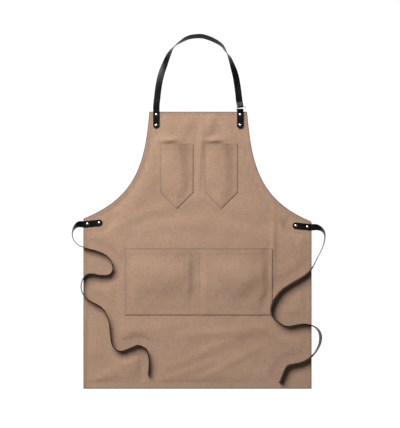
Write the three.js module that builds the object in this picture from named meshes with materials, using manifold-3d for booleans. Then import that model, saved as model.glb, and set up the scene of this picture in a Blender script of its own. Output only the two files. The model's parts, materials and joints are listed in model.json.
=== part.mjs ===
// Bib apron in cotton canvas with riveted leather straps, lying flat on its back.
// Millimetres. +X is to the right, +Y runs towards the neck, +Z is up from the surface it lies on.

import * as THREE from "three";
import { mergeVertices } from "three/addons/utils/BufferGeometryUtils.js";
import Module from "manifold-3d";

const wasm = await Module();
wasm.setup();

// ---------------------------------------------------------------- driving dimensions
const gap = 0.3; // between pieces that touch

// canvas body
const apronWidth = 700;
const apronHeight = 850;
const bibWidth = 300;
const bibShift = 2.3; // the bib lies this far to the right of the skirt
const waistDepth = { left: 328, right: 337 }; // bib top down to each waist corner
const armholeTopPull = { across: 13.5, down: 161 }; // curve handle below the bib corner
const armholeSidePull = { across: 161, up: 65 }; // curve handle inside the waist corner
const restGap = 0.2; // under leather that lies on the surface
const canvas = 0.8; // one layer of cloth
const hemFold = 1.6; // two more layers turned under
const bottomHem = 24;
const sideHem = 10;
const topHem = 24;
const facingWidth = 10; // bias strip behind each armhole edge
const facingThick = 1.3;

// pockets, sewn on as open pouches
const bibPocket = { width: 101.5, side: 149, point: 51, below: 98.5, between: 34.5, shift: 4.5 };
const frontPocket = { width: 453, height: 204, above: 226, shift: 3.5 };
const dividerX = -1; // middle of the front pocket's double seam
const dividerWidth = 11.6;
const seamMargin = 8; // flat edge of a pocket that is sewn down
const pocketSlope = 16; // cloth between the sewn edge and the raised front
const pocketRise = 5.4;

// leather
const strapWidth = 20;
const leather = 2.2;
const strapCorner = 0.6; // rounded cut edges
const neckRise = 231.3; // bib top up to the middle of the strap at the top of the loop
const neckRivetInset = 21.4; // bib side to the neck rivets
const neckRivets = { first: 9, spacing: 32.5 };
const waistRivets = { inset: 13, drop: 16.5, spacing: 35.2, tilt: 5.9 };
const tipMargin = 10.4; // last rivet to the end of the leather
const doubledEnd = 31; // length of neck strap that is turned back under itself
const foldEase = { tab: 4.8, strap: 14 }; // length over which two folded layers come together
const weld = 2.5; // two stretches made apart share this much length where they join
const strapLean = 0.14; // sideways for each length, where the strap leaves the metal loop, whose upper bar it tilts
const underShort = 2; // the turned-back end stops this far before the upper layer leaves it

// metal loop between the tab and the neck strap
const wire = 2.4;
const loopSideRoom = 5; // inside length beyond the strap's width
const loopSpacing = 10.2; // between the middles of its two long bars
const loopCorner = 3.4;
const loopPlay = 0.45; // round a bar inside its leather fold
const loopShift = 1.5; // the loop hangs this far to the right in its folds
const loopAbove = 5.3; // bib top to the lower bar, which is the fold line of the neck strap

// double-cap rivets
const rivetStem = 2.8;
const rivetCap = { diameter: 8.8, rim: 0.5, height: 2.2, socket: 1.1 };
const rivetFoot = { diameter: 8.4, thick: 1 };

// ---------------------------------------------------------------- places that follow
const archOverhang = strapWidth * 0.28; // rolled strap's edge past its middle, at the top of the loop
const hemY = -(apronHeight + neckRise + archOverhang) / 2;
const bibTopY = hemY + apronHeight;
const canvasTop = hemFold + canvas;
const leatherBase = canvasTop + gap;
const leatherTop = leatherBase + leather;
const doubledBase = restGap + leather + gap; // upper layer of the strap's doubled end
const tabTop = leatherTop + gap + leather;
const neckX = bibWidth / 2 - neckRivetInset;
const foldY = bibTopY + loopAbove;
const upperBarY = foldY + loopSpacing;
const wireRadius = wire / 2;
const foldInner = wireRadius + loopPlay;
const foldOuter = foldInner + leather;
const barZ = leatherTop + gap / 2;
const leftNeckX = bibShift - neckX;
const rightNeckX = bibShift + neckX;
const strapHalf = strapWidth / 2;

// neck loop, from the left fold line over the top to the metal loop: place across in half spans,
// place up in neck rises, height of the lower side in millimetres, and roll in degrees from flat
const neckRoute = [
  [-0.975, 0.203, 0.8, 0], [-0.940, 0.354, 0.2, 4], [-0.876, 0.507, 0.2, 12], [-0.795, 0.629, 0.2, 28],
  [-0.694, 0.762, 0.2, 53], [-0.587, 0.853, 0.2, 84], [-0.421, 0.924, 0.2, 108],
  [-0.237, 0.980, 0.2, 122], [0.018, 1.000, 0.2, 127], [0.128, 0.994, 0.2, 127],
  [0.356, 0.949, 0.2, 124], [0.567, 0.874, 0.2, 112], [0.652, 0.802, 0.2, 100], [0.740, 0.721, 0.2, 68],
  [0.816, 0.610, 0.2, 42], [0.890, 0.477, 0.2, 18], [0.936, 0.335, 0.6, 6], [0.959, 0.235, 2.4, 1],
];

// free runs of the waist ties, measured from the outer waist rivet: across, along, height of the
// lower side, and roll in degrees from flat
const leftTieRoute = [
  [-14, -1, 2.9, 1], [-27, -1, 3.4, 24], [-37, -8, 2.4, 50], [-44.5, -21, 0.8, 72],
  [-46.5, -34, 0.2, 80], [-42, -49, 1.2, 80], [-31, -62, 2.8, 79], [-16.5, -69.5, 3.2, 78],
  [2, -76, 2.9, 78], [24.5, -81.5, 2.9, 78], [43, -88.5, 2.9, 78], [61.5, -99.5, 2.9, 78],
  [72.5, -114.5, 2.9, 77], [77.5, -129, 2.9, 76], [76, -144, 2.9, 76], [67, -154.5, 2.9, 77],
  [54, -157, 2.9, 78], [35.5, -156.5, 2.9, 78], [15, -153, 2.9, 78], [-3.5, -155.5, 2.9, 79],
  [-13, -166.5, 2.9, 80], [-18.5, -181.5, 2.9, 80], [-19.5, -196, 2.9, 80], [-15, -213, 2.9, 80],
  [-3.5, -228, 2.9, 78], [11, -238, 2.9, 78], [28, -246.5, 2.9, 78], [43, -256, 2.9, 77],
  [54, -271, 2.9, 76], [61.5, -287.5, 2.9, 76], [67, -308, 2.9, 76], [69, -330.5, 2.9, 76],
  [76, -371, 2.9, 76], [87, -384.5, 2.9, 77], [102, -390, 2.9, 78], [135.5, -379, 2.9, 78],
  [154, -372, 2.9, 77], [180, -384, 2.9, 76], [188.5, -419.5, 2.9, 75], [186.5, -464.5, 2.9, 75],
];
const rightTieRoute = [
  [14, -1, 2.9, 1], [28.5, -1, 3.4, 24], [42, -7, 2.4, 50], [51, -18, 0.8, 70],
  [53, -32, 0.2, 80], [50, -51, 0.2, 84], [42.5, -71, 0.6, 86], [32.5, -90.5, 1.6, 86],
  [22.5, -110, 2.9, 84], [13, -127.5, 3.0, 80], [3, -139.5, 2.9, 78], [-14.5, -153, 2.9, 77],
  [-38, -167, 2.9, 76], [-59.5, -180, 2.9, 76], [-81, -196, 3.2, 75], [-98, -218, 4.2, 74],
  [-108, -237, 4.6, 74], [-111.5, -255, 4.6, 74], [-106.5, -274.5, 4.2, 75], [-92.5, -290, 3.2, 76],
  [-75, -302, 2.9, 77], [-57.5, -305, 2.9, 77], [-38, -301.5, 2.9, 77], [-14.5, -298, 2.9, 76],
  [5, -300, 3.1, 75], [24.5, -308, 3.0, 72], [36.5, -322, 1.4, 68], [40, -337.5, 1.0, 66],
  [37.5, -357, 1.2, 70], [28.5, -376.5, 3.0, 74], [17, -392, 3.1, 77], [1, -406, 2.9, 77],
  [-18.5, -415.5, 2.9, 77], [-40, -420.5, 2.9, 76], [-59.5, -425.5, 2.9, 75],
  [-69, -439, 2.9, 74], [-77, -459, 2.9, 74], [-85, -478.5, 2.9, 74],
];

// ---------------------------------------------------------------- materials
const canvasFinish = new THREE.MeshStandardMaterial({ color: 0xb8977c, roughness: 0.9, metalness: 0 });
const leatherFinish = new THREE.MeshStandardMaterial({ color: 0x141416, roughness: 0.42, metalness: 0 });
const nickelFinish = new THREE.MeshStandardMaterial({ color: 0xd9d9d6, roughness: 0.2, metalness: 1 });

const apron = new THREE.Group();

function addPiece(name, geometry, material) {
  const piece = new THREE.Mesh(geometry, material);
  piece.name = name;
  apron.add(piece);
  return piece;
}

// ---------------------------------------------------------------- solids
function toSolid(geometry) {
  const bare = geometry.clone();
  bare.deleteAttribute("normal");
  bare.deleteAttribute("uv");
  const merged = mergeVertices(bare, 1e-4);
  const mesh = new wasm.Mesh({
    numProp: 3,
    vertProperties: merged.getAttribute("position").array,
    triVerts: new Uint32Array(merged.getIndex().array),
  });
  return new wasm.Manifold(mesh);
}

function toGeometry(solid) {
  const mesh = solid.getMesh();
  const geometry = new THREE.BufferGeometry();
  geometry.setAttribute("position", new THREE.BufferAttribute(mesh.vertProperties, 3));
  geometry.setIndex(new THREE.BufferAttribute(mesh.triVerts, 1));
  geometry.computeVertexNormals();
  return geometry;
}

function plate(shape, low, high, curveSegments = 12) {
  const depth = high - low;
  const geometry = new THREE.ExtrudeGeometry(shape, { depth, bevelEnabled: false, curveSegments });
  geometry.translate(0, 0, low);
  return toSolid(geometry);
}

function rectangle(x0, y0, x1, y1) {
  const shape = new THREE.Shape();
  shape.moveTo(x0, y0);
  shape.lineTo(x1, y0);
  shape.lineTo(x1, y1);
  shape.lineTo(x0, y1);
  return shape;
}

function upright(x, y, diameter, low, high) {
  const geometry = new THREE.CylinderGeometry(diameter / 2, diameter / 2, high - low, 16);
  geometry.rotateX(Math.PI / 2);
  geometry.translate(x, y, (low + high) / 2);
  return toSolid(geometry);
}

// ---------------------------------------------------------------- rivets
const cornerY = { left: bibTopY - waistDepth.left, right: bibTopY - waistDepth.right };

function waistRivetPair(side, sign) {
  const tilt = THREE.MathUtils.degToRad(waistRivets.tilt);
  const outer = [sign * (apronWidth / 2 - waistRivets.inset), cornerY[side] - waistRivets.drop];
  const inner = [
    outer[0] - sign * waistRivets.spacing * Math.cos(tilt),
    outer[1] + waistRivets.spacing * Math.sin(tilt),
  ];
  return { outer, inner };
}

function neckRivetPair(x) {
  const upper = [x, bibTopY - neckRivets.first];
  const lower = [x, bibTopY - neckRivets.first - neckRivets.spacing];
  return { upper, lower };
}

const leftWaist = waistRivetPair("left", -1);
const rightWaist = waistRivetPair("right", 1);
const leftNeck = neckRivetPair(leftNeckX);
const rightNeck = neckRivetPair(rightNeckX);

const rivets = [
  { name: "neck_left_upper", at: leftNeck.upper, under: leatherTop },
  { name: "neck_left_lower", at: leftNeck.lower, under: leatherTop },
  { name: "neck_right_upper", at: rightNeck.upper, under: tabTop },
  { name: "neck_right_lower", at: rightNeck.lower, under: tabTop },
  { name: "waist_left_outer", at: leftWaist.outer, under: leatherTop },
  { name: "waist_left_inner", at: leftWaist.inner, under: leatherTop },
  { name: "waist_right_outer", at: rightWaist.outer, under: leatherTop },
  { name: "waist_right_inner", at: rightWaist.inner, under: leatherTop },
];
const hole = rivetStem + 2 * gap;

function capGeometry() {
  const radius = rivetCap.diameter / 2;
  const rise = rivetCap.height - rivetCap.rim;
  const dome = new THREE.EllipseCurve(0, rivetCap.rim, radius, rise, 0, Math.PI / 2);
  const profile = [
    new THREE.Vector2(0, rivetCap.socket),
    new THREE.Vector2(hole / 2, rivetCap.socket),
    new THREE.Vector2(hole / 2, 0),
    new THREE.Vector2(radius, 0),
    ...dome.getPoints(4),
  ];
  profile[profile.length - 1].x = 0;
  return new THREE.LatheGeometry(profile, 14).rotateX(Math.PI / 2);
}

function postGeometry(length) {
  const profile = [
    new THREE.Vector2(0, 0),
    new THREE.Vector2(rivetFoot.diameter / 2, 0),
    new THREE.Vector2(rivetFoot.diameter / 2, rivetFoot.thick),
    new THREE.Vector2(rivetStem / 2, rivetFoot.thick),
    new THREE.Vector2(rivetStem / 2, length),
    new THREE.Vector2(0, length),
  ];
  return new THREE.LatheGeometry(profile, 14).rotateX(Math.PI / 2);
}

const footBase = hemFold - gap - rivetFoot.thick;
for (const rivet of rivets) {
  const capBase = rivet.under + gap;
  const cap = addPiece(`rivet_cap_${rivet.name}`, capGeometry(), nickelFinish);
  cap.position.set(rivet.at[0], rivet.at[1], capBase);
  const length = capBase + rivetCap.socket - gap - footBase;
  const post = addPiece(`rivet_post_${rivet.name}`, postGeometry(length), nickelFinish);
  post.position.set(rivet.at[0], rivet.at[1], footBase);
}

// ---------------------------------------------------------------- canvas body
const bibLeft = bibShift - bibWidth / 2;
const bibRight = bibShift + bibWidth / 2;
const skirtHalf = apronWidth / 2;

function armholeCurve(side) {
  const sign = side === "left" ? -1 : 1;
  const top = new THREE.Vector2(side === "left" ? bibLeft : bibRight, bibTopY);
  const corner = new THREE.Vector2(sign * skirtHalf, cornerY[side]);
  const handleTop = new THREE.Vector2(top.x + sign * armholeTopPull.across, top.y - armholeTopPull.down);
  const handleSide = new THREE.Vector2(
    corner.x - sign * armholeSidePull.across,
    corner.y + armholeSidePull.up,
  );
  return new THREE.CubicBezierCurve(top, handleTop, handleSide, corner);
}

function bodyOutline() {
  const shape = new THREE.Shape();
  shape.moveTo(-skirtHalf, hemY);
  shape.lineTo(skirtHalf, hemY);
  shape.lineTo(skirtHalf, cornerY.right);
  const right = armholeCurve("right");
  shape.bezierCurveTo(right.v2.x, right.v2.y, right.v1.x, right.v1.y, right.v0.x, right.v0.y);
  shape.lineTo(bibLeft, bibTopY);
  const left = armholeCurve("left");
  shape.bezierCurveTo(left.v1.x, left.v1.y, left.v2.x, left.v2.y, left.v3.x, left.v3.y);
  return shape;
}

const wide = apronWidth; // reaches past the outline on either side
const hemBands = [
  rectangle(-wide, hemY, wide, hemY + bottomHem),
  rectangle(-skirtHalf, hemY, -skirtHalf + sideHem, cornerY.left),
  rectangle(skirtHalf - sideHem, hemY, skirtHalf, cornerY.right),
  rectangle(-wide, bibTopY - topHem, wide, bibTopY),
];

function bodyGeometry() {
  const segments = 20;
  let body = plate(bodyOutline(), hemFold, canvasTop, segments);
  const outline = plate(bodyOutline(), 0, canvasTop, segments);
  for (const band of hemBands) {
    body = body.add(plate(band, 0, hemFold + canvas / 2).intersect(outline));
  }
  const footRoom = rivetFoot.diameter + 2 * gap;
  for (const rivet of rivets) {
    body = body.subtract(upright(...rivet.at, hole, -1, canvasTop + 1));
    body = body.subtract(upright(...rivet.at, footRoom, -1, hemFold));
  }
  return toGeometry(body);
}

addPiece("body_panel", bodyGeometry(), canvasFinish);

function facingGeometry(side) {
  const inward = side === "left" ? 1 : -1;
  const curve = armholeCurve(side);
  const steps = 24;
  const edge = [];
  const inner = [];
  for (let i = 0; i <= steps; i += 1) {
    const point = curve.getPointAt(i / steps);
    const along = curve.getTangentAt(i / steps);
    const across = new THREE.Vector2(-along.y, along.x).multiplyScalar(inward);
    edge.push(point.clone().addScaledVector(across, gap));
    inner.push(point.clone().addScaledVector(across, facingWidth));
  }
  const strip = plate(new THREE.Shape([...edge, ...inner.reverse()]), 0, facingThick);
  const topBand = rectangle(-wide, bibTopY - topHem - gap, wide, bibTopY + gap);
  const sideBand = rectangle(skirtHalf - sideHem - gap, hemY, wide, bibTopY);
  const otherSide = rectangle(-wide, hemY, -skirtHalf + sideHem + gap, bibTopY);
  let facing = strip.subtract(plate(topBand, -1, canvasTop));
  facing = facing.subtract(plate(side === "left" ? otherSide : sideBand, -1, canvasTop));
  const pair = side === "left" ? leftWaist : rightWaist;
  facing = facing.subtract(upright(...pair.outer, rivetFoot.diameter + 2 * gap, -1, canvasTop));
  return toGeometry(facing);
}

addPiece("armhole_facing_left", facingGeometry("left"), canvasFinish);
addPiece("armhole_facing_right", facingGeometry("right"), canvasFinish);

// ---------------------------------------------------------------- pockets
// A grid of cloth with its lower face at heights z(x, d), where d is the distance below the mouth.
function pouchGeometry({ columns, rows, mouthY, lengthAt, heightAt }) {
  const positions = [];
  const indices = [];
  const across = columns.length;
  const down = rows.length;
  for (const lift of [canvas, 0]) {
    for (const row of rows) {
      for (const x of columns) {
        const d = row.fromMouth ?? lengthAt(x) - row.fromBottom;
        positions.push(x, mouthY - d, leatherBase + heightAt(x, lengthAt(x) - d) + lift);
      }
    }
  }
  const top = (i, j) => j * across + i;
  const under = (i, j) => across * down + j * across + i;
  const quad = (a, b, c, d) => indices.push(a, b, c, a, c, d);
  for (let j = 0; j < down - 1; j += 1) {
    for (let i = 0; i < across - 1; i += 1) {
      quad(top(i, j), top(i, j + 1), top(i + 1, j + 1), top(i + 1, j));
      quad(under(i, j), under(i + 1, j), under(i + 1, j + 1), under(i, j + 1));
    }
    quad(top(0, j), under(0, j), under(0, j + 1), top(0, j + 1));
    quad(top(across - 1, j), top(across - 1, j + 1), under(across - 1, j + 1), under(across - 1, j));
  }
  for (let i = 0; i < across - 1; i += 1) {
    quad(top(i, 0), top(i + 1, 0), under(i + 1, 0), under(i, 0));
    quad(top(i, down - 1), under(i, down - 1), under(i + 1, down - 1), top(i + 1, down - 1));
  }
  const geometry = new THREE.BufferGeometry();
  geometry.setAttribute("position", new THREE.Float32BufferAttribute(positions, 3));
  geometry.setIndex(indices);
  geometry.computeVertexNormals();
  return geometry;
}

// 0 on the sewn edge, 1 on the raised front
function raised(distance) {
  return THREE.MathUtils.clamp((distance - seamMargin) / pocketSlope, 0, 1);
}

const sewnEdge = [0, seamMargin, seamMargin + pocketSlope];

function bibPocketGeometry(centreX) {
  const half = bibPocket.width / 2;
  const columns = [...sewnEdge.map((e) => e - half), 0, ...sewnEdge.map((e) => half - e).reverse()];
  const lengthAt = (x) => bibPocket.side + bibPocket.point * (1 - Math.abs(x) / half);
  const geometry = pouchGeometry({
    columns,
    rows: [
      { fromMouth: 0 },
      { fromMouth: bibPocket.side / 2 },
      ...sewnEdge.map((e) => ({ fromBottom: e })).reverse(),
    ],
    mouthY: bibTopY - bibPocket.below,
    lengthAt,
    heightAt: (x, up) => pocketRise * Math.min(raised(half - Math.abs(x)), raised(up)),
  });
  return geometry.translate(centreX, 0, 0);
}

const bibPocketX = (bibPocket.between + bibPocket.width) / 2;
addPiece("bib_pocket_left", bibPocketGeometry(bibPocket.shift - bibPocketX), canvasFinish);
addPiece("bib_pocket_right", bibPocketGeometry(bibPocket.shift + bibPocketX), canvasFinish);

function frontPocketGeometry() {
  const left = frontPocket.shift - frontPocket.width / 2;
  const right = frontPocket.shift + frontPocket.width / 2;
  const seamLeft = dividerX - dividerWidth / 2;
  const seamRight = dividerX + dividerWidth / 2;
  const columns = [
    ...sewnEdge.map((e) => left + e),
    seamLeft - pocketSlope,
    seamLeft,
    seamRight,
    seamRight + pocketSlope,
    ...sewnEdge.map((e) => right - e).reverse(),
  ];
  const heightAt = (x, up) => {
    const seam = Math.min(Math.abs(x - seamLeft), Math.abs(x - seamRight));
    const between = x >= seamLeft && x <= seamRight;
    const fromSeam = between ? 0 : THREE.MathUtils.clamp(seam / pocketSlope, 0, 1);
    return pocketRise * Math.min(raised(x - left), raised(right - x), raised(up), fromSeam);
  };
  return pouchGeometry({
    columns,
    rows: [
      { fromMouth: 0 },
      { fromMouth: frontPocket.height / 2 },
      ...sewnEdge.map((e) => ({ fromBottom: e })).reverse(),
    ],
    mouthY: hemY + frontPocket.above + frontPocket.height,
    lengthAt: () => frontPocket.height,
    heightAt,
  });
}

addPiece("front_pocket", frontPocketGeometry(), canvasFinish);

// ---------------------------------------------------------------- leather straps
function strapSection() {
  const w = strapHalf;
  const t = leather / 2;
  const c = strapCorner;
  const corners = [
    [-w + c, -t], [w - c, -t], [w, c - t], [w, t - c], [w - c, t], [c - w, t], [-w, t - c], [-w, c - t],
  ];
  return new THREE.Shape(corners.map(([x, y]) => new THREE.Vector2(x, y)));
}

// Height of the strap's middle when its lower side is at base and it is rolled up by an angle.
function middleHeight(base, roll) {
  return base + strapHalf * Math.abs(Math.sin(roll)) + (leather / 2) * Math.abs(Math.cos(roll));
}

// A strap swept along stations { x, y, base, roll }. Positive roll lifts its right-hand edge.
function strapGeometry(stations, firstRight, steps) {
  const radians = stations.map((s) => THREE.MathUtils.degToRad(s.roll));
  const points = stations.map((s, i) => new THREE.Vector3(s.x, s.y, middleHeight(s.base, radians[i])));
  const curve = new THREE.CatmullRomCurve3(points, false, "centripetal");
  const rolls = new THREE.CatmullRomCurve3(radians.map((r, i) => new THREE.Vector3(i, r, 0)));
  const geometry = new THREE.ExtrudeGeometry(strapSection(), { depth: 1, steps, bevelEnabled: false });
  const position = geometry.getAttribute("position");
  const frames = [];
  const right = firstRight.clone();
  for (let i = 0; i <= steps; i += 1) {
    const t = curve.getUtoTmapping(i / steps);
    const along = curve.getTangent(t);
    right.addScaledVector(along, -right.dot(along)).normalize();
    const up = new THREE.Vector3().crossVectors(right, along);
    const roll = rolls.getPoint(t).y;
    frames.push({
      middle: curve.getPoint(t),
      across: right.clone().multiplyScalar(Math.cos(roll)).addScaledVector(up, Math.sin(roll)),
      face: up.clone().multiplyScalar(Math.cos(roll)).addScaledVector(right, -Math.sin(roll)),
    });
  }
  const vertex = new THREE.Vector3();
  for (let i = 0; i < position.count; i += 1) {
    vertex.fromBufferAttribute(position, i);
    const frame = frames[Math.round(vertex.z * steps)];
    const place = frame.middle.clone();
    place.addScaledVector(frame.across, -vertex.x).addScaledVector(frame.face, vertex.y);
    position.setXYZ(i, place.x, place.y, place.z);
  }
  return geometry;
}

function roundTip(x, y, angle) {
  const shape = new THREE.Shape();
  const reach = 3 * strapWidth;
  const forward = new THREE.Vector2(Math.cos(angle), Math.sin(angle));
  const aside = new THREE.Vector2(-forward.y, forward.x);
  const centre = new THREE.Vector2(x, y).addScaledVector(forward, tipMargin - strapHalf);
  const start = centre.clone().addScaledVector(aside, -strapHalf);
  shape.moveTo(start.x - reach * forward.x, start.y - reach * forward.y);
  shape.lineTo(start.x, start.y);
  shape.absarc(centre.x, centre.y, strapHalf, angle - Math.PI / 2, angle + Math.PI / 2);
  const end = centre.clone().addScaledVector(aside, strapHalf);
  shape.lineTo(end.x - reach * forward.x, end.y - reach * forward.y);
  return shape;
}

// A strap folded round a bar, seen from its side. "away" is measured from the bar along the strap.
function foldProfile({ topLength, underLength, topFace, underFace, ease }) {
  const shape = new THREE.Shape();
  shape.moveTo(topLength, topFace);
  shape.lineTo(ease, topFace);
  shape.lineTo(0, barZ + foldOuter);
  shape.absarc(0, barZ, foldOuter, Math.PI / 2, -Math.PI / 2 + 2 * Math.PI);
  shape.lineTo(ease, underFace);
  shape.lineTo(underLength, underFace);
  shape.lineTo(underLength, underFace + leather);
  shape.lineTo(ease, underFace + leather);
  shape.lineTo(0, barZ - foldInner);
  shape.absarc(0, barZ, foldInner, -Math.PI / 2 + 2 * Math.PI, Math.PI / 2, true);
  shape.lineTo(ease, topFace - leather);
  shape.lineTo(topLength, topFace - leather);
  return shape;
}

function foldedStrap(profile, x, barY, direction, lean = 0) {
  const options = { depth: strapWidth, bevelEnabled: false, curveSegments: 8 };
  const geometry = new THREE.ExtrudeGeometry(profile, options);
  const turn = new THREE.Matrix4().makeBasis(
    new THREE.Vector3(0, direction, 0),
    new THREE.Vector3(0, 0, 1),
    new THREE.Vector3(direction, 0, 0),
  );
  geometry.applyMatrix4(turn);
  geometry.translate(-direction * strapHalf, 0, 0);
  geometry.rotateZ(Math.atan(lean));
  geometry.translate(x, barY, 0);
  return toSolid(geometry);
}

function withHoles(solid, pair) {
  let drilled = solid;
  for (const at of Object.values(pair)) {
    drilled = drilled.subtract(upright(...at, hole, 0, tabTop + 1));
  }
  return drilled;
}

// right side of the bib: a tab folded round the lower bar of the metal loop
function neckTabGeometry() {
  const tabLength = loopAbove + neckRivets.first + neckRivets.spacing + tipMargin;
  const profile = foldProfile({
    topLength: tabLength,
    underLength: tabLength,
    topFace: tabTop,
    underFace: leatherBase,
    ease: foldEase.tab,
  });
  const tab = foldedStrap(profile, rightNeckX, foldY, -1);
  const tip = plate(roundTip(...rightNeck.lower, -Math.PI / 2), 0, tabTop + foldOuter);
  return toGeometry(withHoles(tab.intersect(tip), rightNeck));
}

addPiece("neck_tab_right", neckTabGeometry(), leatherFinish);

// left side of the bib: the riveted end of the neck strap, up to its fold line
function neckEndGeometry() {
  const end = plate(roundTip(...leftNeck.lower, -Math.PI / 2), leatherBase, leatherTop);
  const beyond = rectangle(-wide, foldY - gap / 2, wide, foldY + 3 * strapWidth);
  return toGeometry(withHoles(end.subtract(plate(beyond, 0, tabTop)), leftNeck));
}

addPiece("neck_strap_riveted_end", neckEndGeometry(), leatherFinish);

function neckStrapGeometry() {
  const joinY = upperBarY + doubledEnd;
  const flat = (x, y, base) => ({ x, y, base, roll: 0 });
  const stations = [
    flat(leftNeckX, foldY + gap / 2, leatherBase),
    flat(leftNeckX, foldY + strapHalf, leatherBase),
    ...neckRoute.map(([u, v, base, roll]) => (
      { x: bibShift + u * neckX, y: bibTopY + v * neckRise, base, roll }
    )),
    flat(rightNeckX - strapLean * doubledEnd, joinY, doubledBase),
    flat(rightNeckX - strapLean * (doubledEnd - strapHalf), joinY - strapHalf, doubledBase),
  ];
  const run = toSolid(strapGeometry(stations, new THREE.Vector3(1, 0, 0), 72));
  const profile = foldProfile({
    topLength: doubledEnd - strapHalf + weld,
    underLength: doubledEnd - underShort,
    topFace: doubledBase + leather,
    underFace: restGap,
    ease: foldEase.strap,
  });
  return toGeometry(run.add(foldedStrap(profile, rightNeckX, upperBarY, 1, strapLean)));
}

addPiece("neck_strap", neckStrapGeometry(), leatherFinish);

// ---------------------------------------------------------------- metal loop
function metalLoopGeometry() {
  const halfX = (strapWidth + loopSideRoom) / 2 + wireRadius;
  const halfY = loopSpacing / 2;
  const c = loopCorner;
  const path = new THREE.Shape();
  path.moveTo(-halfX + c, -halfY);
  path.lineTo(halfX - c, -halfY);
  path.absarc(halfX - c, c - halfY, c, -Math.PI / 2, 0);
  path.lineTo(halfX, halfY - c);
  path.absarc(halfX - c, halfY - c, c, 0, Math.PI / 2);
  path.lineTo(c - halfX, halfY);
  path.absarc(c - halfX, halfY - c, c, Math.PI / 2, Math.PI);
  path.lineTo(-halfX, c - halfY);
  path.absarc(c - halfX, c - halfY, c, Math.PI, 1.5 * Math.PI);

  const segments = 48;
  const ringRadius = 10;
  const geometry = new THREE.TorusGeometry(ringRadius, wireRadius, 8, segments);
  const position = geometry.getAttribute("position");
  for (let i = 0; i < position.count; i += 1) {
    const x = position.getX(i);
    const y = position.getY(i);
    const turn = Math.round((Math.atan2(y, x) / (2 * Math.PI)) * segments) / segments;
    const share = ((turn % 1) + 1) % 1;
    const middle = path.getPointAt(share);
    const along = path.getTangentAt(share);
    const outward = Math.hypot(x, y) - ringRadius;
    const placeX = middle.x + along.y * outward;
    const placeY = middle.y - along.x * outward;
    const upper = THREE.MathUtils.smoothstep(placeY, -halfY + wireRadius, halfY - wireRadius);
    position.setXY(i, placeX, placeY + upper * strapLean * (placeX + loopShift));
  }
  return geometry;
}

const metalLoop = addPiece("strap_loop", metalLoopGeometry(), nickelFinish);
metalLoop.position.set(rightNeckX + loopShift, (foldY + upperBarY) / 2, barZ);

// ---------------------------------------------------------------- waist ties
function tieGeometry(pair, sign, route) {
  const back = new THREE.Vector2(pair.inner[0] - pair.outer[0], pair.inner[1] - pair.outer[1]).normalize();
  const start = new THREE.Vector2(...pair.inner).addScaledVector(back, tipMargin);
  const flat = (x, y) => ({ x, y, base: leatherBase, roll: 0 });
  const stations = [
    flat(start.x, start.y),
    flat(...pair.inner),
    flat(...pair.outer),
    ...route.map(([x, y, base, roll]) => (
      { x: pair.outer[0] + x, y: pair.outer[1] + y, base, roll: -sign * roll }
    )),
  ];
  const right = new THREE.Vector3(0, -sign, 0);
  const run = toSolid(strapGeometry(stations, right, 78));
  const angle = Math.atan2(back.y, back.x);
  const end = plate(roundTip(...pair.inner, angle), 0, tabTop);
  const square = plate(roundTipBox(pair, back), 0, tabTop);
  return toGeometry(withHoles(run.subtract(square.subtract(end)), pair));
}

// The area round the inner end of a tie, which its rounded tip is cut from.
function roundTipBox(pair, back) {
  const aside = new THREE.Vector2(-back.y, back.x).multiplyScalar(strapWidth);
  const near = new THREE.Vector2(...pair.inner);
  const far = near.clone().addScaledVector(back, strapWidth);
  return new THREE.Shape([
    near.clone().sub(aside), far.clone().sub(aside), far.clone().add(aside), near.clone().add(aside),
  ]);
}

addPiece("waist_tie_left", tieGeometry(leftWaist, -1, leftTieRoute), leatherFinish);
addPiece("waist_tie_right", tieGeometry(rightWaist, 1, rightTieRoute), leatherFinish);

export default apron;
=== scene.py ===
"""A canvas bib apron with riveted leather straps, laid flat on its back and seen from straight above."""
import json
import math

import bpy
import numpy as np
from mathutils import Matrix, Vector


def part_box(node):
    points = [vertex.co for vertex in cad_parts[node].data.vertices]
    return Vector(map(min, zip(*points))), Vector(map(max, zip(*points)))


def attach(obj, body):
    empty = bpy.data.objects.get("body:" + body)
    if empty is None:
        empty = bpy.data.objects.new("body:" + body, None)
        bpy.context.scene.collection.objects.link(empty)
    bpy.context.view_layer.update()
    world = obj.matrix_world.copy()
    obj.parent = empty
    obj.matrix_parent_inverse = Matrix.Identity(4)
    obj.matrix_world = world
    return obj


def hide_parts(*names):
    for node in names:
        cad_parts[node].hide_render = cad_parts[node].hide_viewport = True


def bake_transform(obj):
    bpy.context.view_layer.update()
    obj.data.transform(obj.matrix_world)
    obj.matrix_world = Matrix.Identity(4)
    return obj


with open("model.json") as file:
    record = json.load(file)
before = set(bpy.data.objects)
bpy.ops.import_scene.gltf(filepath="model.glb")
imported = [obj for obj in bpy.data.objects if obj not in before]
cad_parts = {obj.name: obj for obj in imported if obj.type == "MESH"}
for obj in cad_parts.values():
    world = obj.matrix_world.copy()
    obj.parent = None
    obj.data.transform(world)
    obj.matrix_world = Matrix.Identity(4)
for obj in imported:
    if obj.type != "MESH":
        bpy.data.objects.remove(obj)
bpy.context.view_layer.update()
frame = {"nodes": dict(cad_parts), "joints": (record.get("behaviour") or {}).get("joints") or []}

MM = 0.001
scene = bpy.context.scene
scene.view_settings.view_transform = "Standard"


# ---- places read from the frame, in millimetres
def box_mm(node):
    low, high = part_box(node)
    return np.array(low) / MM, np.array(high) / MM


def middle_mm(node):
    low, high = box_mm(node)
    return (low + high) / 2


def cad_points(node):
    return np.array([v.co for v in frame["nodes"][node].data.vertices]) / MM


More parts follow.
